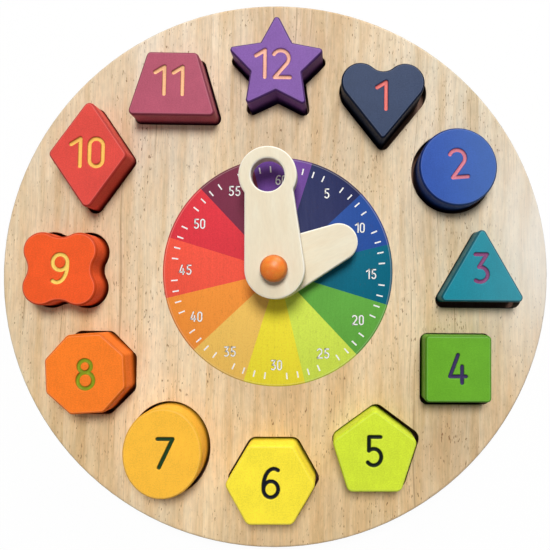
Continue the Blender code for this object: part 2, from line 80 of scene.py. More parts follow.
# Sizes of the solids' outlines
CORNER_RADIUS = 3.5 * MM
HEART_TIP_RADIUS = 1.8 * MM
VALLEY_RADIUS = 1.0 * MM
RING_RADIUS = BOARD_RADIUS - 35.1 * MM
RECESS_CLEARANCE = 1.7 * MM
SEAT_GAP = 0.3 * MM
STEM_RADIUS = 4.0 * MM
BORE_RADIUS = 4.3 * MM
HAND_BASE_RADIUS = 14.6 * MM
MINUTE_REACH = 46 * MM
MINUTE_HEAD_RADIUS = 14.2 * MM
MINUTE_NECK_RADIUS = 11.2 * MM
NECK_FILLET = 2 * MM
FINGER_HOLE_RADIUS = 8.15 * MM
HOUR_REACH = 34.2 * MM
HOUR_TIP_RADIUS = 9.5 * MM
NUMERAL_HEIGHT = 15.6 * MM
NUMERAL_STROKE = 1.9 * MM
# How far the dial's numbers and ticks are printed off the middle
PRINT_SLIP = np.array((0.2, -0.4)) * MM

# The number blocks. paint, ink: screen colours of the block and its numeral. recess: how far
# the recess lies off its hour, in shares of the ring's radius. gap: clearance round the block,
# in shares of the widest. rest, turn: where the block lies in that room, in shares of it, and
# how far it is turned, in degrees. numeral: how far the numeral lies off the middle, in shares
# of its height. corner: rounding, in shares of the widest. rim, foot: how dark the painted shade
# is in the line at the rim and at the foot of the side. sheen: how strongly a painted
# reflection pales the right half.
Block = namedtuple("Block", "name paint ink recess gap rest turn numeral corner rim foot sheen")
BLOCKS = {number: Block(*row) for number, row in enumerate((
    ("heart", "2d3e5f", "e87a74", (0.009, -0.058), 1, (-0.6, 0.75), 0,
     (-0.05, 0.16), 0, 0.85, 0.75, 0),
    ("circle", "2751aa", "d9798a", (-0.011, -0.003), 0.85, (0.75, 0.5), 5,
     (0.02, 0.10), 0, 0.85, 0.75, 0.06),
    ("triangle", "158799", "8a3f74", (-0.015, 0.027), 1, (-0.55, 0.95), 0,
     (-0.03, -0.15), 0.65, 0.8, 0.75, 0.055),
    ("square", "6aac2a", "3d2f5e", (0.006, 0.028), 1, (-0.6, 0.95), 0,
     (-0.02, 0.0), 0.6, 0.5, 0.75, 0.005),
    ("pentagon", "d5e839", "101c16", (-0.016, 0.001), 0.95, (-0.95, 0.35), 0,
     (-0.02, 0.12), 0.95, 0.1, 0.2, 0),
    ("hexagon", "ffe93d", "0e1422", (-0.009, -0.001), 0.75, (-0.37, 0.21), 0,
     (0.02, 0.06), 1, 0.1, 0.25, 0),
    ("oval", "ffc03d", "1e4022", (-0.014, 0.006), 0.85, (0.09, 0.3), 0,
     (0.09, 0.01), 0, 0.25, 0.4, 0),
    ("octagon", "fa7e26", "8a9a1e", (-0.012, 0.001), 0.9, (0.3, 0.6), 4,
     (0.0, -0.02), 0.8, 0.4, 0.6, 0),
    ("flower", "f25b27", "f9d56a", (-0.007, -0.005), 0.75, (0.05, -0.05), 0,
     (0.01, 0.01), 0, 0.55, 0.75, 0),
    ("rhombus", "e04d43", "fbc562", (-0.029, 0.031), 0.6, (0.6, 0.7), 0,
     (-0.03, 0.06), 0.85, 0.55, 0.75, 0),
    ("trapezoid", "b5566c", "fbc391", (-0.004, 0.016), 0.55, (-0.2, -0.1), 0,
     (-0.10, 0.10), 0.7, 0.65, 0.75, 0),
    ("star", "8257a6", "f6b9a0", (-0.012, -0.022), 0.75, (-0.05, 0.9), 0,
     (-0.10, 0.0), 0.5, 0.75, 0.75, 0),
), 1)}
# Screen colours of the dial's sectors, from sixty onwards
SECTOR_CODES = ("69428f", "262c58", "294e98", "0e6880", "6ab149", "def15a",
                "ffee40", "ffcf68", "ff9d42", "f95d49", "de3c46", "783348")


def linear(code):
    """Linear red, green and blue of a screen colour written as six hexadecimal digits."""
    shares = [int(code[i:i + 2], 16) / 255 for i in (0, 2, 4)]
    return tuple(s / 12.92 if s <= 0.04045 else ((s + 0.055) / 1.055) ** 2.4 for s in shares)


# ---------------------------------------------------------------- outlines

def toward(angle):
    """Unit vectors, the cosine and sine of angles in radians from +X."""
    return np.stack((np.cos(angle), np.sin(angle)), -1)


def arc(centre, radii, start, end, steps):
    """The centre plus the radius, or each half-axis, times the unit vectors of an even run of
    angles, in degrees."""
    return centre + radii * toward(np.radians(np.linspace(start, end, steps + 1)))


def line(*points):
    """Points in an array."""
    return np.array(points, float)


def unit(vectors):
    return vectors / np.linalg.norm(vectors, axis=-1, keepdims=True)


def degrees_of(vector):
    return math.degrees(math.atan2(vector[1], vector[0]))


def rounded_polygon(number, corners, grow, steps=10):
    """An anticlockwise polygon whose sides lie grow outside the given ones. At each corner an
    arc turns from one side's normal to the next one's, about a point on the bisector."""
    before = unit(corners - np.roll(corners, 1, 0))
    after = np.roll(before, -1, 0)
    normal = before[:, ::-1] * (1, -1)
    bisector = unit(normal + np.roll(normal, -1, 0))
    reach = 1 / (bisector * normal).sum(1)
    turn = np.arctan2(before[:, 0] * after[:, 1] - before[:, 1] * after[:, 0],
                      (before * after).sum(1))
    side = np.sign(turn)
    radius = np.where(turn > 0, CORNER_RADIUS * BLOCKS[number].corner + grow, VALLEY_RADIUS)
    centre = corners + bisector * (reach * (grow - side * radius))[:, None]
    start = np.arctan2(side * normal[:, 1], side * normal[:, 0])
    angle = start[:, None] + turn[:, None] * np.linspace(0, 1, steps + 1)
    return (centre[:, None] + radius[:, None, None] * toward(angle)).reshape(-1, 2)


def regular_corners(count, radius, first_angle, inner_radius=None):
    """Points at even angles round a circle, or by turns on two circles for a star."""
    total = count * 2 if inner_radius else count
    angle = np.radians(first_angle) + math.tau * np.arange(total) / total
    radii = np.where(np.arange(total) % 2, inner_radius or radius, radius)
    return toward(angle) * radii[:, None]


def notch_radius(across, rise, lobe_radius):
    """Radius of the hollow arc that meets two lobes smoothly, its bottom at height rise above
    the lobes' middles, which lie at across to each side."""
    return (across ** 2 + rise ** 2 - lobe_radius ** 2) / (2 * (lobe_radius - rise))


def heart(grow, lobe_radius=9.8 * MM, spacing=22.6 * MM, rise=5.7 * MM, drop=26.8 * MM):
    """Two round lobes, a hollow arc between them and a small arc at the tip, all tangent."""
    across = spacing / 2
    hollow = notch_radius(across, rise, lobe_radius)
    notch, tip, lobe = line((0, rise + hollow), (0, -drop), (across, 0))
    along = lobe - tip
    lean = math.degrees(math.acos((HEART_TIP_RADIUS - lobe_radius) / np.linalg.norm(along)))
    side = degrees_of(along) - lean
    meet = degrees_of(notch - lobe)
    points = np.vstack((
        arc(lobe, lobe_radius + grow, side, meet, 48),
        arc(notch, hollow - grow, meet - 180, -meet, 16)[1:-1],
        arc(-lobe, lobe_radius + grow, 180 - meet, 180 - side, 48),
        arc(tip, HEART_TIP_RADIUS + grow, 180 - side, 360 + side, 10),
    ))
    return points - (0, (lobe_radius - drop - HEART_TIP_RADIUS) / 2)


def flower(grow, width=36 * MM, lobe_radius=9 * MM, notch_depth=2.3 * MM):
    """Four round lobes at the corners of a square with a hollow arc between each two."""
    across = width / 2 - lobe_radius
    rise = width / 2 - notch_depth - across
    hollow = notch_radius(across, rise, lobe_radius)
    lobe, notch = line((across, across), (0, across + rise + hollow))
    meet = degrees_of(notch - lobe)
    x, y = np.vstack((arc(lobe, lobe_radius + grow, 90 - meet, meet, 36),
                      arc(notch, hollow - grow, meet - 180, -meet, 12)[1:-1])).T
    return np.vstack([np.column_stack(pair) for pair in ((x, y), (-y, x), (-x, -y), (y, -x))])


def oval(grow, width, height):
    return arc((0, 0), (width / 2 + grow, height / 2 + grow), 0, 360, 180)[:-1]


def round_hole(grow, radius, centre=(0, 0)):
    return arc(centre, radius + grow, 0, 360, 120)[:-1]


def even_polygon(grow, count, across_flats, first_angle):
    radius = across_flats / 2 / math.cos(math.pi / count)
    return rounded_polygon(count, regular_corners(count, radius, first_angle), grow)


def triangle(grow, side=44.2 * MM):
    up = side * math.sqrt(3) / 4
    return rounded_polygon(3, line((0, up), (-side / 2, -up), (side / 2, -up)), grow)


def rhombus(grow, width=39.2 * MM, height=56.5 * MM):
    corners = line((width / 2, 0), (0, height / 2), (-width / 2, 0), (0, -height / 2))
    return rounded_polygon(10, corners, grow)


def trapezoid(grow, base=44.2 * MM, top=24.8 * MM, height=32.1 * MM):
    corners = line((base / 2, -height / 2), (top / 2, height / 2),
                   (-top / 2, height / 2), (-base / 2, -height / 2))
    return rounded_polygon(11, corners, grow)


OUTLINES = {
    1: heart,
    2: lambda grow: oval(grow, 39.5 * MM, 39.5 * MM),
    3: triangle,
    4: lambda grow: even_polygon(grow, 4, 33 * MM, 45),
    5: lambda grow: rounded_polygon(5, regular_corners(5, 22.1 * MM, 90), grow),
    6: lambda grow: even_polygon(grow, 6, 38.4 * MM, 0),
    7: lambda grow: oval(grow, 38.6 * MM, 44 * MM),
    8: lambda grow: even_polygon(grow, 8, 38.7 * MM, 22.5),
    9: flower,
    10: rhombus,
    11: trapezoid,
    12: lambda grow: rounded_polygon(12, regular_corners(5, 26.3 * MM, 90, 13.6 * MM), grow),
}


def turned(points, angle):
    """Points turned anticlockwise about the Z axis, by an angle in radians."""
    c, s = math.cos(angle), math.sin(angle)
    x, y, z = points.T
    return np.column_stack((c * x - s * y, s * x + c * y, z))


def recess_centre(number):
    angle = math.radians(90 - 30 * number)
    hour = np.array((math.cos(angle), math.sin(angle)))
    return (hour + BLOCKS[number].recess) * RING_RADIUS


def block_centre(number):
    room = RECESS_CLEARANCE * BLOCKS[number].gap - SEAT_GAP
    return recess_centre(number) + np.array(BLOCKS[number].rest) * room


def hand_side(tip_reach, tip_radius):
    """The direction, in degrees, that a hand's right side faces between its two ends."""
    return 90 - math.degrees(math.acos((HAND_BASE_RADIUS - tip_radius) / tip_reach))


def hour_outline(grow):
    """A round base and a smaller round tip joined by two straight sides that touch both."""
    side = hand_side(HOUR_REACH, HOUR_TIP_RADIUS)
    return np.vstack((
        arc((0, HOUR_REACH), HOUR_TIP_RADIUS + grow, side, 180 - side, 48),
        arc((0, 0), HAND_BASE_RADIUS + grow, 180 - side, 360 + side, 64),
    ))


def minute_outline(grow):
    """A tapered body under a round head, with a hollow fillet where they meet on each side."""
    head = np.array((0, MINUTE_REACH))
    side = hand_side(MINUTE_REACH, MINUTE_NECK_RADIUS)
    facing = toward(math.radians(side))
    along = np.array((-facing[1], facing[0]))
    fillet_side = MINUTE_NECK_RADIUS + NECK_FILLET
    fillet_reach = MINUTE_HEAD_RADIUS + NECK_FILLET
    fillet = head + facing * fillet_side - along * math.sqrt(fillet_reach ** 2 - fillet_side ** 2)
    meet = degrees_of(fillet - head)
    return np.vstack((
        arc(fillet, NECK_FILLET - grow, side + 180, meet + 180, 12),
        arc(head, MINUTE_HEAD_RADIUS + grow, meet, 180 - meet, 72)[1:-1],
        arc((-fillet[0], fillet[1]), NECK_FILLET - grow, -meet, -side, 12),
        arc((0, 0), HAND_BASE_RADIUS + grow, 180 - side, 360 + side, 64),
    ))


def ring_of(shape, longest):
    """A function of grow that gives an outline's points, with each straight run split into the
    same number of equal parts whatever the grow, none longer than longest."""
    base = shape(0.0)
    run = np.linalg.norm(np.roll(base, -1, 0) - base, axis=1)
    parts = np.maximum(np.ceil(run / longest).astype(int), 1)
    index = np.repeat(np.arange(len(base)), parts)
    share = (np.arange(len(index)) - np.repeat(np.cumsum(parts) - parts, parts)) / parts[index]

    def ring(grow):
        points = shape(grow)
        return points[index] + share[:, None] * (np.roll(points, -1, 0)[index] - points[index])
    return ring


# ---------------------------------------------------------------- numerals

def glyphs():
    """Centre lines of each digit's strokes in shares of its height, foot at 0 and head at 1,
    and whether each is a loop. Loops are whole ovals, and the other strokes are straight lines
    and arcs."""
    bowl = arc((0, 0.28), (0.26, 0.28), 0, 360, 40)[:-1]
    tail = np.vstack((arc((0.10, 0.40), (0.36, 0.60), 66, 180, 24), line((-0.26, 0.28))))
    hook = np.vstack((arc((-0.04, 0.71), 0.29, 150, -38, 28), line((-0.26, 0))))
    loops = {
        "0": [np.vstack((arc((0, 0.76), 0.24, 0, 180, 20), arc((0, 0.24), 0.24, 180, 360, 20)))],
        "6": [bowl],
        "8": [arc((0, 0.785), 0.215, 0, 360, 36)[:-1],
              arc((0, 0.285), (0.275, 0.285), 0, 360, 40)[:-1]],
        "9": [(0, 1) - bowl],
    }
    strokes = {
        "1": [line((-0.33, 0.79), (0, 1)), line((0, 1), (0, 0))],
        "2": [hook, line((-0.26, 0), (0.30, 0))],
        "3": [line((-0.22, 1), (0.20, 1)), line((0.20, 1), (-0.09, 0.54)),
              arc((-0.05, 0.27), (0.28, 0.27), 98, -125, 32)],
        "4": [line((0, 1), (-0.29, 0.23)), line((-0.29, 0.23), (0.29, 0.23)),
              line((0.15, 0.59), (0.15, 0))],
        "5": [line((-0.19, 1), (0.22, 1)), line((-0.19, 1), (-0.19, 0.51)),
              arc((-0.02, 0.29), (0.27, 0.29), 130, -140, 36)],
        "6": [tail],
        "7": [line((-0.27, 1), (0.26, 1)), line((0.26, 1), (-0.20, 0))],
        "9": [(0, 1) - tail],
    }
    return {digit: [(run, kind is loops) for kind in (loops, strokes)
                    for run in kind.get(digit, ())] for digit in "0123456789"}


GLYPHS = glyphs()
DIGIT_SPANS = {"0": (-0.24, 0.24), "1": (-0.33, 0), "2": (-0.29, 0.30), "3": (-0.33, 0.23),
               "4": (-0.29, 0.29), "5": (-0.29, 0.25), "6": (-0.26, 0.26)}


def numeral_lines(text, line_height, space=0.33):
    """Centre lines of a whole numeral about its middle: digits side by side, space apart. A
    single digit other than 1 is even already."""
    lines, pen = [], 0
    uneven = len(text) > 1 or text == "1"
    for digit in text:
        left, right = DIGIT_SPANS[digit] if uneven else (0, 0)
        lines += [(points + (pen - left, -0.5), loop) for points, loop in GLYPHS[digit]]
        pen += right - left + space
    middle = (pen - space) / 2 if uneven else 0
    return [((points - (middle, 0)) * line_height, loop) for points, loop in lines]


def distance_to(lines, points):
    """Shortest distance from each point to the lines: its place along each straight run, held
    between the run's ends, gives the nearest spot on that run."""
    closed = [np.vstack((run, run[:1])) if loop else run for run, loop in lines]
    start = np.vstack([run[:-1] for run in closed])
    step = np.vstack([run[1:] for run in closed]) - start
    offset = points[:, None, :] - start
    share = np.clip((offset * step).sum(-1) / (step ** 2).sum(-1), 0, 1)
    return np.linalg.norm(offset - share[..., None] * step, axis=-1).min(1)


# ---------------------------------------------------------------- surfaces

NO_TRIANGLES = np.empty((0, 3), int)


def grid_faces(rows, columns, wrap_rows=False):
    """Quads between neighbouring points of a grid stored row after row. Each row is a closed
    loop, and the last row joins the first where wrap_rows is set."""
    row = np.arange(rows if wrap_rows else rows - 1)[:, None] * columns
    below = (row + columns) % (rows * columns)
    column = np.arange(columns)
    beside = (column + 1) % columns
    corners = row + column, below + column, below + beside, row + beside
    return np.stack(corners, -1).reshape(-1, 4)


def fan_faces(pole, first, columns, outward):
    """Triangles from a pole to each edge of a ring that starts at vertex first."""
    column = first + np.arange(columns)
    beside = first + (np.arange(columns) + 1) % columns
    pair = (column, beside) if outward else (beside, column)
    return np.column_stack((np.full(columns, pole), *pair))


def closed_ends(count, columns):
    """Fans from two poles, the vertices after the last of count, to a grid's end rows."""
    return np.vstack((fan_faces(count, 0, columns, True),
                      fan_faces(count + 1, count - columns, columns, False)))


def add_piece(name, surface, body, material, replaces=(), attributes=None, sharp=50):
    """Puts a surface's points, quads and triangles into a mesh, and the piece on its body."""
    points, quads, triangles = surface
    loops = np.concatenate((quads.ravel(), triangles.ravel()))
    starts = np.concatenate((np.arange(len(quads)) * 4,
                             len(quads) * 4 + np.arange(len(triangles)) * 3))
    mesh = bpy.data.meshes.new(name)
    mesh.vertices.add(len(points))
    mesh.vertices.foreach_set("co", np.ascontiguousarray(points, np.float32).ravel())
    mesh.loops.add(len(loops))
    mesh.loops.foreach_set("vertex_index", loops.astype(np.int32))
    mesh.polygons.add(len(starts))
    mesh.polygons.foreach_set("loop_start", starts.astype(np.int32))
    mesh.update(calc_edges=True)
    if mesh.validate():
        raise RuntimeError(f"{name}: the surface has faulty faces")
    for label, values in (attributes or {}).items():
        layer = mesh.attributes.new(label, "FLOAT", "POINT")
        layer.data.foreach_set("value", np.ascontiguousarray(values, np.float32))
    mesh.shade_smooth()
    mesh.set_sharp_from_angle(angle=math.radians(sharp))
    mesh.materials.append(material)
    made = bpy.data.objects.new(name, mesh)
    bpy.context.collection.objects.link(made)
    if replaces:
        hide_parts(*replaces)
    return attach(made, body)


def rounded_side(bottom, top, top_round, bottom_round, margin, steps=6):
    """Profile of a piece's side from its flat top round to its flat bottom, as columns of inset
    from the outline and height: a quarter round, a straight wall and another quarter round."""
    quarter = np.radians(np.linspace(0, 90, steps + 1))
    rise, fall = 1 - np.sin(quarter), 1 - np.cos(quarter)
    upper = np.column_stack((top_round * rise, top - top_round * fall))
    lower = np.column_stack((bottom_round * fall, bottom + bottom_round * rise))
    return np.vstack(((top_round + margin, top), upper if top_round else upper[:1],
                      lower if bottom_round else lower[:1], (bottom_round + margin, bottom)))


def filled(rings, upward, smallest=1e-14):
    """Triangles that fill the first ring and leave the others open, all facing one way. Those
    whose doubled area isn't above the smallest are left out."""
    faces = np.array(tessellate_polygon([list(map(Vector, ring.tolist())) for ring in rings]))
    flat = np.vstack(rings)[:, :2]
    a, b, c = (flat[faces[:, i]] for i in range(3))
    area = (b[:, 0] - a[:, 0]) * (c[:, 1] - a[:, 1]) - (b[:, 1] - a[:, 1]) * (c[:, 0] - a[:, 0])
    wrong = (area > 0) != upward
    faces[wrong] = faces[wrong][:, ::-1]
    return faces[np.abs(area) > smallest]


def plate(outlines, bottom, top, outer_rounds, hole_rounds, longest=1.0 * MM, margin=0.15 * MM):
    """A flat piece. Its side profile is carried round the first outline, inwards, and round each
    hole's outline, outwards, and its two flat faces are filled between the ends."""
    points, quads, tops, bottoms = [], [], [], []
    count = 0
    for number, outline in enumerate(outlines):
        ring = ring_of(outline, longest)
        sign, rounds = (1, hole_rounds) if number else (-1, outer_rounds)
        profile = rounded_side(bottom, top, *rounds, margin)
        rows = [ring(sign * inset) for inset, height in profile]
        columns = len(rows[0])
        points.append(np.column_stack((np.vstack(rows), np.repeat(profile[:, 1], columns))))
        faces = grid_faces(len(rows), columns) + count
        quads.append(faces[:, ::-1] if number else faces)
        tops.append(np.arange(columns) + count)
        bottoms.append(tops[-1] + (len(rows) - 1) * columns)
        count += len(rows) * columns
    points, triangles = np.vstack(points), []
    for rings, upward in ((tops, True), (bottoms, False)):
        faces = filled([points[ring] for ring in rings], upward)
        triangles.append(np.concatenate(rings)[faces])
    return points, np.vstack(quads), np.vstack(triangles)


def lathe(profile, steps=96, closed=False):
    """Each point of the profile, a radius and a height, is carried round the Z axis: x and y are
    the radius times the cosine and sine of the angle. Open profiles end in poles on the axis."""
    profile = np.asarray(profile, float)
    rows = profile if closed else profile[1:-1]
    circle = toward(math.tau * np.arange(steps) / steps)
    points = np.column_stack(((rows[:, :1, None] * circle).reshape(-1, 2),
                              np.repeat(rows[:, 1], steps)))
    quads = grid_faces(len(rows), steps, wrap_rows=closed)
    if closed:
        return points, quads, NO_TRIANGLES
    poles = [(0, 0, profile[0, 1]), (0, 0, profile[-1, 1])]
    return np.vstack((points, poles)), quads, closed_ends(len(points), steps)


def ribbons(lines, width, bottom, top):
    """Flat strokes of even width: a rectangle carried along each line, at right angles to it,
    half a width longer at open ends."""
    points, quads = [], []
    count = 0
    for run, loop in lines:
        if loop:
            along = unit(np.roll(run, -1, 0) - np.roll(run, 1, 0))
        else:
            step = unit(np.diff(run, axis=0))
            along = unit(np.vstack((step[:1], step[1:] + step[:-1], step[-1:])))
            run = run + np.vstack((-step[:1], np.zeros((len(run) - 2, 2)), step[-1:])) * width / 2
        across = along[:, ::-1] * (1, -1) * width / 2
        section = [np.column_stack((run + across * side, np.full(len(run), height)))
                   for side, height in ((-1, top), (1, top), (1, bottom), (-1, bottom))]
        points.append(np.stack(section, 1).reshape(-1, 3))
        quads.append(grid_faces(len(run), 4, wrap_rows=loop)[:, ::-1] + count)
        if not loop:
            last = count + 4 * (len(run) - 1)
            quads.append(np.array(((count, count + 1, count + 2, count + 3),
                                   (last + 3, last + 2, last + 1, last))))
        count += 4 * len(run)
    return np.vstack(points), np.vstack(quads), NO_TRIANGLES


def block_surface(number, rim, depth, stroke, rings=80, longest=0.45 * MM, slope=0.5 * MM,
                  bulge=0.3, far=9.0):
    """A number block, and each point's distance from its numeral's groove, in millimetres, and
    share of the way from the rim's inner edge to the side. Rings that are even shares of the
    rim's inner outline cover the top, and sink by the groove's depth near the numeral: smoothly
    over the width of its slope, and less by the bulge towards its edges. The rounded side is
    carried round the outline. Points off the top count as far from the groove."""
    ring = ring_of(OUTLINES[number], longest)
    inner = ring(-rim)
    columns = len(inner)
    shares = np.linspace(0, 1, rings + 1)[1:]
    top = (shares[:, None, None] * inner).reshape(-1, 2)
    shift = np.array(BLOCKS[number].numeral) * NUMERAL_HEIGHT
    lines = [(points + shift, loop)
             for points, loop in numeral_lines(str(number), NUMERAL_HEIGHT - NUMERAL_STROKE)]
    beyond = distance_to(lines, np.vstack((top, ((0, 0),)))) - stroke / 2
    wall = np.clip(0.5 - beyond / slope, 0, 1)
    bowl = 1 - bulge * np.clip(1 + beyond / (stroke / 2), 0, 1) ** 2
    sink = depth * wall ** 2 * (3 - 2 * wall) * bowl
    profile = rounded_side(BLOCK_BOTTOM, BLOCK_TOP, rim, rim, 0)[2:]
    side = np.vstack([ring(-inset) for inset, height in profile])
    low = np.vstack([share * inner for share in (0.6, 0.2)])
    levels = np.concatenate((BLOCK_TOP - sink[:-1], np.repeat(profile[:, 1], columns),
                             np.full(len(low), BLOCK_BOTTOM)))
    points = np.column_stack((np.vstack((top, side, low)), levels))
    count = len(points)
    points = np.vstack((points, ((0, 0, BLOCK_TOP - sink[-1]), (0, 0, BLOCK_BOTTOM))))
    points = turned(points, math.radians(BLOCKS[number].turn))
    points[:, :2] += block_centre(number)
    groove = np.full(count + 2, far)
    groove[:len(top)] = beyond[:-1] / MM
    groove[-2] = beyond[-1] / MM
    edge = np.zeros(count + 2)
    edge[len(top):len(top) + len(side)] = 1 - np.repeat(profile[:, 0], columns) / rim
    surface = points, grid_faces(count // columns, columns), closed_ends(count, columns)
    return surface, {"groove": groove, "edge": edge}


# ---------------------------------------------------------------- materials

class Tone:
    """A number or colour that flows through a material, so that node maths reads as an
    expression."""

    def __init__(self, look, socket):
        self.look, self.socket = look, socket

    def __add__(self, other):
        return self.look.maths("ADD", self, other)

    def __sub__(self, other):
        return self.look.maths("SUBTRACT", self, other)

    def __rsub__(self, other):
        return self.look.maths("SUBTRACT", other, self)

    def __mul__(self, other):
        return self.look.maths("MULTIPLY", self, other)

    def __truediv__(self, other):
        return self.look.maths("DIVIDE", self, other)

    def __pow__(self, other):
        return self.look.maths("POWER", self, other)

    __radd__, __rmul__ = __add__, __mul__

    def between(self, low, high, start=0.0, end=1.0):
        """Goes smoothly from start to end while this tone goes from low to high."""
        return self.look.node("ShaderNodeMapRange", {"interpolation_type": "SMOOTHSTEP"},
                              {"Value": self, "From Min": low, "From Max": high,
                               "To Min": start, "To Max": end})


class Look:
    """A material under construction, with the patterns that this clock's finishes share."""

    def __init__(self, name, **constants):
        self.material = bpy.data.materials.new(name)
        self.material.use_nodes = True
        self.tree = self.material.node_tree
        self.shader = self.tree.nodes["Principled BSDF"]
        for socket, value in constants.items():
            self.shader.inputs[socket.replace("_", " ")].default_value = value

    def node(self, kind, settings=None, values=None, output=0):
        """Adds a node of a type: its settings first, then the values or links of its sockets."""
        made = self.tree.nodes.new(kind)
        for key, value in (settings or {}).items():
            if key == "stops":
                for spot, colour in value[2:]:
                    made.color_ramp.elements.new(spot)
                for element, (spot, colour) in zip(made.color_ramp.elements, value):
                    element.position, element.color = spot, (*colour, 1)
            elif key == "ramp":
                made.color_ramp.interpolation = value
            else:
                setattr(made, key, value)
        for key, value in (values or {}).items():
            if isinstance(value, Tone):
                self.tree.links.new(value.socket, made.inputs[key])
            else:
                made.inputs[key].default_value = value
        return Tone(self, made.outputs[output])

    def maths(self, operation, *values, kind="ShaderNodeMath"):
        return self.node(kind, {"operation": operation}, dict(enumerate(values)))

    def place(self, turn=0.0):
        """Object coordinates in millimetres, turned about the Z axis by an angle in radians."""
        spot = self.node("ShaderNodeTexCoord", output=3)
        return self.node("ShaderNodeMapping", {"vector_type": "POINT"},
                         {"Vector": spot, "Rotation": (0, 0, turn), "Scale": (1000, 1000, 1000)})

    def parts(self, vector):
        return [self.node("ShaderNodeSeparateXYZ", values={0: vector}, output=i) for i in range(3)]

    def joined(self, x, y, z):
        return self.node("ShaderNodeCombineXYZ", values={0: x, 1: y, 2: z})

    def noise(self, spot, across, along, detail=2.0, rough=0.5):
        """Noise from 0 to 1, with one scale along Y and another across it."""
        spot = self.maths("MULTIPLY", spot, (across, along, across), kind="ShaderNodeVectorMath")
        return self.node("ShaderNodeTexNoise", values={
            "Vector": spot, "Scale": 1.0, "Detail": detail, "Roughness": rough})

    def ramp(self, tone, stops, interpolation="LINEAR"):
        return self.node("ShaderNodeValToRGB", {"ramp": interpolation, "stops": stops}, {0: tone})

    def mix(self, share, first, second, blend="MIX"):
        """Mixes two colours, each a tuple or the output of another node."""
        first, second = (value if isinstance(value, Tone) else (*value, 1)
                         for value in (first, second))
        return self.node("ShaderNodeMix", {"data_type": "RGBA", "blend_type": blend},
                         {0: share, 6: first, 7: second}, output=2)

    def tinted(self, body, *colours):
        """A colour times others."""
        for colour in colours:
            body = self.mix(1.0, body, colour, "MULTIPLY")
        return body

    def layered(self, body, *layers):
        """A colour with others laid over it one after another, each in its own share."""
        for share, colour in layers:
            body = self.mix(share, body, colour)
        return body

    def shaded(self, body, tone):
        """A colour times a number."""
        grey = self.node("ShaderNodeCombineColor", values={0: tone, 1: tone, 2: tone})
        return self.tinted(body, grey)

    def attribute(self, name):
        return self.node("ShaderNodeAttribute", {"attribute_name": name}, output=2)

    def finish(self, colour, matt=None, roughness=(), height=None, relief=0.0):
        """Links the finished patterns to the shader. The roughness goes between its two ends
        with the tone matt, and relief is the height's reach in metres."""
        self.tree.links.new(colour.socket, self.shader.inputs["Base Color"])
        if matt:
            rough = matt.between(0.3, 0.7, *roughness)
            self.tree.links.new(rough.socket, self.shader.inputs["Roughness"])
        if height:
            bump = self.node("ShaderNodeBump", values={"Strength": 1.0, "Distance": relief,
                                                       "Height": height})
            self.tree.links.new(bump.socket, self.shader.inputs["Normal"])
        return self.material


def distance(x, y):
    return (x * x + y * y) ** 0.5


def wood_streaks(look, spot):
    """Upright grain: slow waver, fine streaks and short pores, each stretched along Y."""
    x, y, z = look.parts(spot)
    bent = look.joined(x + look.noise(spot, 0.02, 0.012, 1.0) * 7.0, y, z)
    broad = look.noise(bent, 0.16, 0.010, 3.0, 0.6)
    fine = look.noise(bent, 1.5, 0.06, 3.0, 0.65)
    pores = look.noise(bent, 1.6, 0.40, 1.0, 0.4)
    return bent, broad, fine, pores


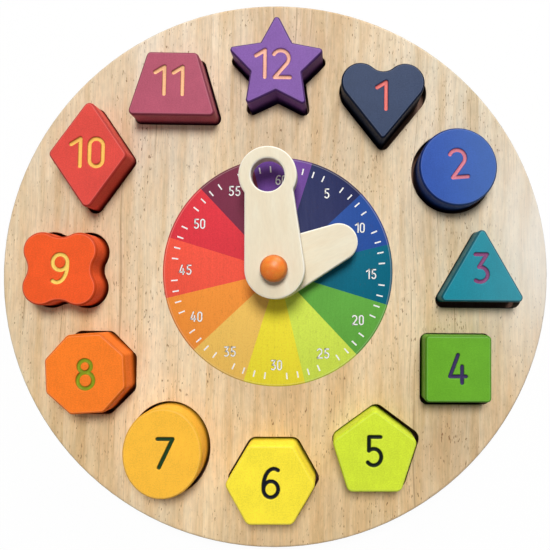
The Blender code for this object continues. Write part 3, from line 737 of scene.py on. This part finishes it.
def board_wood(settings):
    """Pale edge-glued wood: strips of slightly different tone with upright grain, fine brown
    pores and a few long dark lines, under a thin satin lacquer. The tone drifts from side to
    side, grows warmer towards six o'clock and is darker at the lower right. A painted reflection
    pales the lacquer beside three o'clock, the outer edge has a thin grey line of painted shade,
    and the recesses' walls are browned by the cutter and darkened with painted shade, darkest on
    the right."""
    look = Look("board wood", Specular_IOR_Level=0.2)
    spot = look.place()
    x, y, z = look.parts(spot)
    rim, face = BOARD_RADIUS / MM, FACE_TOP / MM
    width = x / (2 * rim) + 0.5
    strip = look.ramp(width, [(start, (tone,) * 3) for start, tone in (
        (0.0, 0.99), (0.115, 1.01), (0.283, 0.975), (0.368, 1.035),
        (0.405, 1.0), (0.56, 1.01), (0.72, 0.985), (0.87, 1.015))], "CONSTANT")
    slide = look.joined(0.0, strip * 2100, strip * 300)
    spot = look.maths("ADD", spot, slide, kind="ShaderNodeVectorMath")
    bent, broad, fine, pores = wood_streaks(look, spot)
    body = look.mix(broad.between(0.36, 0.70, 0.0, 0.8), settings.light, settings.dark)
    blotch = look.noise(spot, 0.40, 0.16, 4.0, 0.65)
    body = look.shaded(body, fine.between(0.35, 0.68, 1.05, 0.91)
                       * blotch.between(0.3, 0.7, 1.06, 0.93))
    cast = look.noise(spot, 0.22, 0.07, 3.0, 0.6).between(0.35, 0.65)
    drift = look.ramp(width, [
        (0.03, (1.04, 1.05, 1.08)), (0.13, (1.0, 0.98, 0.96)), (0.20, (0.95, 0.90, 0.86)),
        (0.24, (1.04, 1.07, 1.16)), (0.34, (1.11, 1.12, 1.19)), (0.40, (1.03, 1.01, 1.01)),
        (0.47, (0.96, 0.90, 0.86)), (0.60, (0.94, 0.89, 0.84)), (0.66, (1.02, 1.0, 0.98)),
        (0.75, (1.02, 1.04, 1.08)), (0.86, (0.96, 1.01, 1.08)), (1.0, (1.0, 1.0, 1.05))])
    body = look.tinted(body, look.mix(cast, (1.01, 0.99, 0.975), (0.99, 1.008, 1.015)), strip,
                       drift, look.mix(y.between(110, -120), (0.94, 0.96, 1.0),
                                       (1.0, 0.955, 0.85)))
    low_right = distance(x - 100, y + 85).between(80, 15)
    body = look.mix(low_right, body, look.tinted(body, (0.89, 0.84, 0.82)))
    patch = look.noise(bent, 0.16, 0.03).between(0.44, 0.60, 0.30, 1.0)
    dash = pores.between(0.67, 0.72) * patch
    long_line = look.noise(bent, 0.95, 0.006, 1.0).between(0.70, 0.74)
    dark = look.mix(0.72, body, settings.pore)
    radius = distance(x, y)
    # Painted shade down the recesses' walls, over the cutter's browning, darkest on the right
    recess_shade_mask = z.between(face - 0.15, face - 0.7) * radius.between(rim - 1.0, rim - 2.0)
    recess_shade_colour = look.mix(x.between(0, 70), settings.burn, (0.008, 0.004, 0.003))
    # Painted reflection: the lacquer pales beside three o'clock
    painted_reflection = distance(x - 150, (y - 12) * 0.45 ** 0.5).between(62, 8) * 0.55
    body = look.layered(
        body, (dash, dark), (long_line * 0.5, dark),
        # Painted shade: a thin grey line round the outer edge
        (radius.between(rim - 0.9, rim - 0.4) * 0.5, (0.20, 0.18, 0.15)),
        (recess_shade_mask * 0.92, recess_shade_colour), (painted_reflection * (1.0 - recess_shade_mask), (0.83, 0.84, 0.82)))
    return look.finish(body, fine, (0.5, 0.62), fine * 0.5 - dash * 0.15, 0.05 * MM)


def ply_wood(settings):
    """The back panel: three glued layers that show at its edge, and plain grain on its face,
    with painted shade over the face where it shows down the recesses' gaps.
    """
    look = Look("plywood", Specular_IOR_Level=0.3)
    spot = look.place()
    x, y, z = look.parts(spot)
    bent, broad, fine, pores = wood_streaks(look, spot)
    body = look.mix(broad.between(0.3, 0.7), settings.light, settings.dark)
    rim, top = BOARD_RADIUS / MM, heights("back_panel")[1] / MM
    layer, blur = top / 3, 0.05
    middle = z.between(layer - blur, layer + blur) - z.between(2 * layer - blur, 2 * layer + blur)
    body = look.layered(
        look.shaded(body, fine.between(0.35, 0.68, 1.0, 0.84)),
        (middle * distance(x, y).between(rim - 1.0, rim - 0.7) * 0.55, settings.pore),
        (pores.between(0.64, 0.70) * 0.35, settings.pore),
        # Painted shade over the front face, seen down the recesses' gaps
        (z.between(top - 0.2, top - 0.05) * 0.8, settings.burn))
    return look.finish(body, fine, (0.55, 0.68), fine, 0.05 * MM)


def hand_wood(name, settings, angle, top):
    """Very pale, close wood with a faint mottle drawn out along the hand, under satin lacquer,
    with a painted highlight along the top of the rim and browner down the sides below it."""
    look = Look(name, Specular_IOR_Level=0.35)
    spot = look.place(angle)
    x, y, z = look.parts(spot)
    top /= MM
    fine = look.noise(spot, 1.1, 0.25, 3.0, 0.6)
    broad = look.noise(spot, 0.12, 0.03, 3.0, 0.6).between(0.3, 0.7)
    body = look.mix(broad, settings.light, settings.dark)
    body = look.layered(
        look.shaded(body, fine.between(0.35, 0.68, 1.01, 0.975)),
        # Painted highlight along the top of the rim
        (z.between(top - 0.01, top - 0.10) * 0.75, (1.0, 0.97, 0.88)),
        (z.between(top - 0.4, top - 1.3) * 0.45, (0.40, 0.28, 0.16)))
    return look.finish(body, fine, (0.42, 0.52), fine, 0.02 * MM)


def block_paint(name, number, paint, ink):
    """Satin paint with a fine speckle and the wood's grain barely showing, a thin line of painted
    shade on the outer half of the rim with a painted highlight inside it, and a second colour in
    the numeral's groove, darker where the two meet. The foot of the side has painted shade, least
    on the pale blocks, and a faint painted reflection grows to the right on the blocks nearest
    three o'clock."""
    look = Look(name, Specular_IOR_Level=0.14)
    block = BLOCKS[number]
    spot = look.place()
    x, y, z = look.parts(spot)
    grain = look.noise(spot, 0.9, 0.16, 3.0, 0.6)
    speck = look.noise(spot, 1.5, 1.5, 4.0, 0.7)
    cloud = look.noise(spot, 0.11, 0.11)
    shade = (grain.between(0.3, 0.7, 1.02, 0.97) * speck.between(0.35, 0.65, 1.07, 0.92)
             * cloud.between(0.3, 0.7, 0.96, 1.04))
    groove = look.attribute("groove") + (speck - 0.5) * 0.12
    lip = groove.between(0.22, 0.02) * groove.between(-0.30, -0.06)
    edge = look.attribute("edge")
    # Painted highlight on the inner half of the rim and painted shade on its outer half
    rim_highlight = edge.between(0.0, 0.08) - edge.between(0.12, 0.35)
    rim_shade = (edge.between(0.12, 0.5) * block.rim
                 - edge.between(0.90, 1.0) * (block.rim - block.rim ** 3.5))
    body = look.layered(
        look.shaded(paint, shade),
        (groove.between(0.05, -0.05), look.shaded(ink, shade)),
        (lip * 0.45, tuple(c * 0.35 for c in paint)),
        (rim_highlight * speck.between(0.35, 0.65, 0.08, 0.26), tuple(0.55 * c + 0.36 for c in paint)),
        (rim_shade, tuple(c ** 1.25 * 0.3 for c in paint)))
    # Painted reflection, paler towards the right
    if block.sheen:
        middle = block_centre(number)[0] / MM
        sheen = x.between(middle - 20, middle + 20) * block.sheen
        body = look.mix(sheen, body, (0.55, 0.95, 1.0))
    # Painted shade at the foot of the side
    foot = z.between(FACE_TOP / MM + 4.5, FACE_TOP / MM - 0.5) * edge.between(0.8, 1.0)
    body = look.mix(foot * block.foot, body, tuple(c ** 1.2 * 0.2 for c in paint))
    return look.finish(body, speck, (0.40, 0.56), grain * 0.6 + speck * 0.4, 0.04 * MM)


def dial_print(settings):
    """Twelve printed sectors over the wood, whose streaks show faintly through, with a thin
    darker line at the rim and a faint light one just inside it."""
    look = Look("dial print", Specular_IOR_Level=0.10)
    spot = look.place()
    x, y, z = look.parts(spot)
    turn = (look.maths("ARCTAN2", x, y) + math.radians(15) - settings.turn) / math.tau
    stops = [(k / 12, linear(code)) for k, code in enumerate(SECTOR_CODES)]
    body = look.ramp(look.maths("FRACT", turn), stops, "CONSTANT")
    bent, broad, fine, pores = wood_streaks(look, spot)
    speck = look.noise(spot, 1.6, 1.6, 3.0, 0.6)
    shade = fine.between(0.35, 0.68, 1.02, 0.97) * speck.between(0.35, 0.65, 0.95, 1.05)
    radius, rim = distance(x, y), settings.radius / MM
    light = radius.between(rim - 1.15, rim - 0.95) - radius.between(rim - 0.75, rim - 0.55)
    dash = pores.between(0.66, 0.72)
    body = look.layered(
        look.shaded(body, shade), (light * 0.16, (0.9, 0.85, 0.75)),
        (radius.between(rim - 0.55, rim - 0.35) * 0.5, (0.12, 0.05, 0.03)),
        (dash * 0.12, (0.1, 0.05, 0.03)))
    return look.finish(body, fine, (0.46, 0.58), fine - dash, 0.03 * MM)


def white_print():
    """Thin white print, a little uneven where the wood's pores took the colour."""
    look = Look("white print", Alpha=0.9)
    speck = look.noise(look.place(), 3.5, 1.2)
    body = look.mix(speck.between(0.35, 0.7), (1.0, 0.99, 0.97), (0.90, 0.89, 0.86))
    return look.finish(body, speck, (0.45, 0.6), speck, 0.01 * MM)


def print_outline():
    """A dark film that lets the sector's colour through, for the outlines of the numbers."""
    look = Look("print outline", Alpha=0.28, Roughness=0.6)
    speck = look.noise(look.place(), 3.0, 3.0)
    return look.finish(look.mix(speck, (0.05, 0.015, 0.02), (0.02, 0.01, 0.02)))


def knob_paint(settings):
    """Satin orange paint on turned wood, mottled with a redder orange and with painted shade round
    the side, with faint rings from the lathe and small specks."""
    look = Look("knob paint", Specular_IOR_Level=0.4)
    spot = look.place()
    x, y, z = look.parts(spot)
    radius, rim = distance(x, y), KNOB_RADIUS / MM
    rings = look.maths("SINE", radius * 14.0 + z * 9.0)
    speck = look.noise(spot, 2.8, 2.8)
    mottle = look.noise(spot, 0.5, 0.5).between(0.35, 0.65, 0.0, 0.5)
    body = look.layered(settings.paint, (mottle, (0.90, 0.14, 0.012)),
                        # Painted shade round the dome's side
                        (radius.between(rim - 1.6, rim) * 0.5, (0.30, 0.07, 0.01)))
    body = look.shaded(body, speck.between(0.3, 0.7, 1.05, 0.92) + rings * 0.015)
    return look.finish(body, speck, (0.30, 0.42), rings * 0.3 + speck, 0.02 * MM)


def nylon():
    """Milky nylon with a faint cloud and fine matt grain."""
    look = Look("nylon", IOR=1.53)
    spot = look.place()
    cloud = look.noise(spot, 0.4, 0.4).between(0.3, 0.7)
    grain = look.noise(spot, 6, 6)
    body = look.mix(cloud, (0.82, 0.82, 0.78), (0.74, 0.74, 0.69))
    return look.finish(body, grain, (0.38, 0.5), grain, 0.01 * MM)


def zinc():
    """Bright zinc plate with fine turning marks round the head and a slight yellow cast."""
    look = Look("zinc plate", Metallic=1.0)
    spot = look.place()
    x, y, z = look.parts(spot)
    marks = look.maths("SINE", distance(x, y) * 40.0)
    cloud = look.noise(spot, 0.9, 0.9, 3.0)
    body = look.mix(cloud.between(0.35, 0.65), (0.66, 0.66, 0.64), (0.56, 0.54, 0.47))
    return look.finish(body, cloud, (0.28, 0.42), marks * 0.2 + cloud, 0.02 * MM)


def cover(node, material):
    """Gives a solid that is shown as it is its finish."""
    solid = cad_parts[node]
    if not solid.material_slots:
        solid.data.materials.append(material)
    for slot in solid.material_slots:
        slot.material = material


# ---------------------------------------------------------------- settings

def number_of(name, description, default, **limits):
    return bpy.props.FloatProperty(name=name, description=description, default=default, **limits)


def length(name, description, default):
    return number_of(name, description, default, min=0, max=0.5, unit="LENGTH",
                     subtype="DISTANCE", precision=5)


def angle_of(name, description, default):
    return number_of(name, description, math.radians(default), subtype="ANGLE")


def power(name, description, default):
    return number_of(name, description, default, min=0, unit="POWER")


def colour(name, description, code):
    return bpy.props.FloatVectorProperty(name=name, description=description, subtype="COLOR",
                                         default=linear(code), size=3, min=0, max=1)


class ClockBoardSettings(bpy.types.PropertyGroup):
    """The board's rounding and the tones of its wood."""
    rim_round: length("Rim rounding", "Radius of the board's upper rim", 1.5 * MM)
    recess_round: length("Recess rounding", "Radius of the recesses' upper rims", 0.35 * MM)
    light: colour("Light wood", "Colour between the streaks", "ebd5b3")
    dark: colour("Dark wood", "Colour of the broad streaks", "dbbc8f")
    pore: colour("Pores", "Colour of the pores and dark lines", "764a22")
    # Painted shade in the recesses, over the cutter's browning, and on the panel's face below them
    burn: colour("Cut walls", "Colour of the recesses' walls, browned by the cutter", "5e1c18")


class ClockDialSettings(bpy.types.PropertyGroup):
    """The printed dial."""
    radius: length("Radius", "Radius of the print", 59 * MM)
    turn: angle_of("Turn", "How far the print is turned, clockwise", 0.75)
    numeral_height: length("Numeral height", "Height of the minute numbers", 5.2 * MM)
    numeral_stroke: length("Numeral stroke", "Width of the minute numbers' lines", 0.66 * MM)
    numeral_ring: length("Numeral ring", "Distance of the numbers from the middle", 47.75 * MM)
    tick_length: length("Tick length", "Length of a minute tick", 3.3 * MM)
    tick_width: length("Tick width", "Width of a minute tick", 0.72 * MM)
    tick_ring: length("Tick ring", "Distance of the ticks' middles from the middle", 53.45 * MM)
    outline: length("Outline", "Width that the dark outline adds to the numbers", 0.4 * MM)
    film: length("Film", "Thickness of the print", 0.04 * MM)


class ClockBlockSettings(bpy.types.PropertyGroup):
    """Rounding, groove and paint of the number blocks."""
    __annotations__ = {
        "rim": length("Rim rounding", "Radius of the blocks' rims", 1.2 * MM),
        "groove_depth": length("Groove depth", "Depth of the numerals", 0.9 * MM),
        "stroke": length("Stroke", "Width of the numerals' lines", NUMERAL_STROKE),
    }
    for _number, _block in BLOCKS.items():
        __annotations__[f"paint_{_number:02d}"] = colour(
            f"Paint {_number}", f"Paint of the {_block.name}", _block.paint)
        __annotations__[f"numeral_{_number:02d}"] = colour(
            f"Numeral {_number}", f"Paint in the numeral of the {_block.name}", _block.ink)


class ClockHandSettings(bpy.types.PropertyGroup):
    """Rounding, rest angles and wood of the hands."""
    rim: length("Rim rounding", "Radius of the hands' rims", 0.9 * MM)
    minute_angle: angle_of("Minute angle", "Rest angle, clockwise from twelve", -5)
    hour_angle: angle_of("Hour angle", "Rest angle, clockwise from twelve", 65)
    light: colour("Light wood", "Colour between the streaks", "ebe1c7")
    dark: colour("Dark wood", "Colour of the broad streaks", "e7d8ba")


class ClockPivotSettings(bpy.types.PropertyGroup):
    """The peg."""
    skirt: length("Skirt", "Height of the upright band under the dome", 1.4 * MM)
    paint: colour("Paint", "Colour of the peg's head", "f08a34")


class ClockStageSettings(bpy.types.PropertyGroup):
    """Floor, lamps and camera."""
    floor: colour("Floor", "Colour of the floor", "faf9f8")
    key_power: power("Key lamp", "Power of the main lamp", 76.0)
    low_power: power("Low lamp", "Power of the low lamp", 32.0)
    fill_power: power("Fill lamp", "Power of the fill lamp", 4.0)
    sky: number_of("Sky", "Strength of the light all round", 0.12, min=0)
    camera_place: bpy.props.FloatVectorProperty(
        name="Camera place", description="Where the camera stands", subtype="TRANSLATION",
        unit="LENGTH", default=(0.028825, -0.016317, 0.269371))
    camera_turn: bpy.props.FloatVectorProperty(
        name="Camera turn", description="How the camera is turned", subtype="EULER",
        default=(0.037765, -0.020882, 0.008698))
    lens: number_of("Lens", "Focal length in millimetres", 32.647, min=1)
    shift: bpy.props.FloatVectorProperty(name="Shift", description="Shift of the picture", size=2,
                                         default=(-0.12613, 0.01722))


# ---------------------------------------------------------------- operators

class CLOCK_OT_board(bpy.types.Operator):
    """Builds the face board with its twelve recesses, and finishes the panel behind it"""
    bl_idname = "clock.board"
    bl_label = "Board"

    def execute(self, context):
        settings = context.scene.clock_board
        outlines = [lambda grow: round_hole(grow, BOARD_RADIUS),
                    lambda grow: round_hole(grow, BORE_RADIUS)]
        for number, shape in OUTLINES.items():
            gap = RECESS_CLEARANCE * BLOCKS[number].gap
            outlines.append(lambda grow, number=number, shape=shape, gap=gap:
                            recess_centre(number) + shape(gap + grow))
        surface = plate(outlines, FACE_BOTTOM, FACE_TOP,
                        (settings.rim_round, 0), (settings.recess_round, 0))
        add_piece("board_face", surface, "board", board_wood(settings),
                  replaces=("face_board",))
        cover("back_panel", ply_wood(settings))
        return {"FINISHED"}


class CLOCK_OT_dial(bpy.types.Operator):
    """Prints the dial: coloured sectors, ticks and minute numbers"""
    bl_idname = "clock.dial"
    bl_label = "Dial"

    def execute(self, context):
        settings = context.scene.clock_dial
        film, stroke = settings.film, settings.numeral_stroke
        low, high = FACE_TOP - film / 2, FACE_TOP + film
        inner, outer = BORE_RADIUS + 0.5 * MM, settings.radius
        profile = [(inner, high), (outer - film, high), (outer, high - film),
                   (outer, low), (inner, low)]
        add_piece("dial_sectors", lathe(profile, steps=240, closed=True), "board",
                  dial_print(settings))
        numbers, narrowed = [], (0.88, 1)
        for hour in range(1, 13):
            outward = toward(math.radians(90 - 30 * hour) - settings.turn)
            spot = settings.numeral_ring * outward + PRINT_SLIP
            text = numeral_lines(str(5 * hour), settings.numeral_height - stroke, space=0.30)
            numbers += [(points * narrowed + spot, loop) for points, loop in text]
        minutes = np.array([minute for minute in range(60) if minute % 5])
        outward = toward(np.radians(90 - 6 * minutes) - settings.turn)
        reach = (settings.tick_length - settings.tick_width) / 2
        radii = settings.tick_ring + reach * np.array((-1, 1))
        ticks = [(ends, False) for ends in outward[:, None, :] * radii[:, None] + PRINT_SLIP]
        white, half = white_print(), film / 2
        for name, lines, width, bottom, top, material in (
                ("dial_numbers", numbers, stroke, high, high + half, white),
                ("dial_outlines", numbers, stroke + settings.outline, high - half,
                 high + half / 2, print_outline()),
                ("dial_ticks", ticks, settings.tick_width, high - half, high + half, white)):
            add_piece(name, ribbons(lines, width, bottom, top), "board", material)
        return {"FINISHED"}


class CLOCK_OT_blocks(bpy.types.Operator):
    """Builds and paints the twelve number blocks"""
    bl_idname = "clock.blocks"
    bl_label = "Number blocks"

    def execute(self, context):
        settings = context.scene.clock_blocks
        for number, block in BLOCKS.items():
            code = f"{number:02d}"
            paint, ink = (tuple(getattr(settings, kind + code)) for kind in ("paint_", "numeral_"))
            surface, marks = block_surface(number, settings.rim, settings.groove_depth,
                                           settings.stroke)
            add_piece(f"{block.name}_{code}", surface, "block_" + code,
                      block_paint("paint " + code, number, paint, ink),
                      replaces=("block_" + code,), attributes=marks, sharp=70)
        return {"FINISHED"}


class CLOCK_OT_hands(bpy.types.Operator):
    """Builds the hour hand and the minute hand at their rest angles"""
    bl_idname = "clock.hands"
    bl_label = "Hands"

    def execute(self, context):
        settings = context.scene.clock_hands
        bore = lambda grow: round_hole(grow, BORE_RADIUS)
        finger = lambda grow: round_hole(grow, FINGER_HOLE_RADIUS, (0, MINUTE_REACH))
        rims = (settings.rim, settings.rim)
        for kind, outlines, angle in (
                ("hour", [hour_outline, bore], settings.hour_angle),
                ("minute", [minute_outline, bore, finger], settings.minute_angle)):
            body = kind + "_hand"
            bottom, top = heights(body)
            points, *faces = plate(outlines, bottom, top, rims, rims, longest=0.8 * MM)
            add_piece("hand_" + kind, (turned(points, -angle), *faces), body,
                      hand_wood(f"hand {kind} wood", settings, angle, top), replaces=(body,))
        return {"FINISHED"}


class CLOCK_OT_pivot(bpy.types.Operator):
    """Turns the peg and the washers, and finishes the screw"""
    bl_idname = "clock.pivot"
    bl_label = "Peg and washers"

    def execute(self, context):
        settings = context.scene.clock_pivot
        foot, crown = heights("pivot_knob")
        under = heights("washer_upper")[1] + SEAT_GAP
        skirt = under + settings.skirt
        lip = 0.5 * MM
        profile = np.vstack((
            [(0, foot), (STEM_RADIUS, foot), (STEM_RADIUS, under)],
            arc((KNOB_RADIUS - lip, under + lip), lip, -90, 0, 5),
            arc((0, skirt), (KNOB_RADIUS, crown - skirt), 0, 90, 24)[:-1],
            [(0, crown)]))[::-1]
        add_piece("peg", lathe(profile), "board", knob_paint(settings),
                  replaces=("pivot_knob",), sharp=60)
        plain = nylon()
        for node in ("washer_lower", "washer_middle", "washer_upper"):
            low, high = heights(node)
            bevel = 0.15 * MM
            inner, outer = BORE_RADIUS, WASHER_RADIUS
            ring = [(inner, high - bevel), (inner + bevel, high), (outer - bevel, high),
                    (outer, high - bevel), (outer, low + bevel), (outer - bevel, low),
                    (inner + bevel, low), (inner, low + bevel)]
            add_piece(node.replace("washer", "spacer"), lathe(ring, closed=True), "board",
                      plain, replaces=(node,), sharp=30)
        cover("pivot_screw", zinc())
        return {"FINISHED"}


class CLOCK_OT_stage(bpy.types.Operator):
    """Lays the floor, hangs the lamps and sets up the camera"""
    bl_idname = "clock.stage"
    bl_label = "Stage"

    def execute(self, context):
        settings = context.scene.clock_stage
        scene = context.scene
        half_width, cells = 3, 8
        span = np.linspace(-half_width, half_width, cells + 1)
        x, y = (side.ravel() for side in np.meshgrid(span, span))
        first = (np.arange(cells)[:, None] * len(span) + np.arange(cells)).reshape(-1, 1)
        mesh = bpy.data.meshes.new("floor")
        mesh.from_pydata(np.column_stack((x, y, np.zeros(len(x)))), [],
                         (first + (0, 1, len(span) + 1, len(span))).tolist())
        look = Look("floor", Roughness=0.9)
        cloud = look.noise(look.place(), 0.004, 0.004).between(0.3, 0.7)
        look.finish(look.mix(cloud, settings.floor, tuple(c * 0.985 for c in settings.floor)))
        paper = look.node("ShaderNodeEmission", values={"Color": (1, 1, 1, 1), "Strength": 1.0})
        seen = [look.node("ShaderNodeLightPath", output=name)
                for name in ("Is Camera Ray", "Is Glossy Ray", "Is Transmission Ray")]
        paper_share = (seen[0] + seen[1] + seen[2]) * 0.95
        blend = look.node("ShaderNodeMixShader", values={
            0: paper_share, 1: Tone(look, look.shader.outputs[0]), 2: paper})
        output = look.tree.nodes["Material Output"]
        look.tree.links.new(blend.socket, output.inputs["Surface"])
        mesh.materials.append(look.material)
        floor = bpy.data.objects.new("floor", mesh)
        scene.collection.objects.link(floor)
        for name, spot, size, energy in (
                ("key lamp", (0.18, 1.45, 2.60), 1.30, settings.key_power),
                ("low lamp", (0.90, 2.55, 0.75), 1.20, settings.low_power),
                ("fill lamp", (-1.00, -1.10, 1.60), 1.40, settings.fill_power)):
            lamp = bpy.data.lights.new(name, "AREA")
            lamp.energy, lamp.size, lamp.shape = energy, size, "DISK"
            holder = bpy.data.objects.new(name, lamp)
            holder.location = spot
            holder.rotation_euler = (-Vector(spot)).to_track_quat("-Z", "Y").to_euler()
            scene.collection.objects.link(holder)
        scene.world = scene.world or bpy.data.worlds.new("sky")
        scene.world.use_nodes = True
        sky = scene.world.node_tree.nodes["Background"]
        sky.inputs["Color"].default_value = (1, 1, 1, 1)
        sky.inputs["Strength"].default_value = settings.sky
        camera = bpy.data.cameras.new("camera")
        camera.lens, camera.sensor_width = settings.lens, 36
        camera.shift_x, camera.shift_y = settings.shift
        camera.clip_start = 0.005
        viewer = bpy.data.objects.new("camera", camera)
        viewer.location, viewer.rotation_euler = settings.camera_place, settings.camera_turn
        scene.collection.objects.link(viewer)
        scene.camera = viewer
        scene.view_settings.view_transform = "Standard"
        return {"FINISHED"}


STEPS = (
    (CLOCK_OT_board, "clock_board", ClockBoardSettings),
    (CLOCK_OT_dial, "clock_dial", ClockDialSettings),
    (CLOCK_OT_blocks, "clock_blocks", ClockBlockSettings),
    (CLOCK_OT_hands, "clock_hands", ClockHandSettings),
    (CLOCK_OT_pivot, "clock_pivot", ClockPivotSettings),
    (CLOCK_OT_stage, "clock_stage", ClockStageSettings),
)


class CLOCK_PT_panel(bpy.types.Panel):
    """Lists the clock's operators and their settings in the sidebar"""
    bl_label = "Learning clock"
    bl_idname = "CLOCK_PT_panel"
    bl_space_type = "VIEW_3D"
    bl_region_type = "UI"
    bl_category = "Learning clock"

    def draw(self, context):
        for operator, name, group in STEPS:
            box = self.layout.box()
            box.operator(operator.bl_idname)
            settings = getattr(context.scene, name)
            for key in settings.bl_rna.properties.keys():
                if key not in ("rna_type", "name"):
                    box.prop(settings, key)


def register():
    for operator, name, group in STEPS:
        bpy.utils.register_class(group)
        setattr(bpy.types.Scene, name, bpy.props.PointerProperty(type=group))
        bpy.utils.register_class(operator)
    bpy.utils.register_class(CLOCK_PT_panel)


def unregister():
    bpy.utils.unregister_class(CLOCK_PT_panel)
    for operator, name, group in reversed(STEPS):
        bpy.utils.unregister_class(operator)
        delattr(bpy.types.Scene, name)
        bpy.utils.unregister_class(group)


def main():
    register()
    bpy.ops.clock.board()
    bpy.ops.clock.dial()
    bpy.ops.clock.blocks()
    bpy.ops.clock.hands()
    bpy.ops.clock.pivot()
    bpy.ops.clock.stage()


if __name__ == "__main__":
    main()
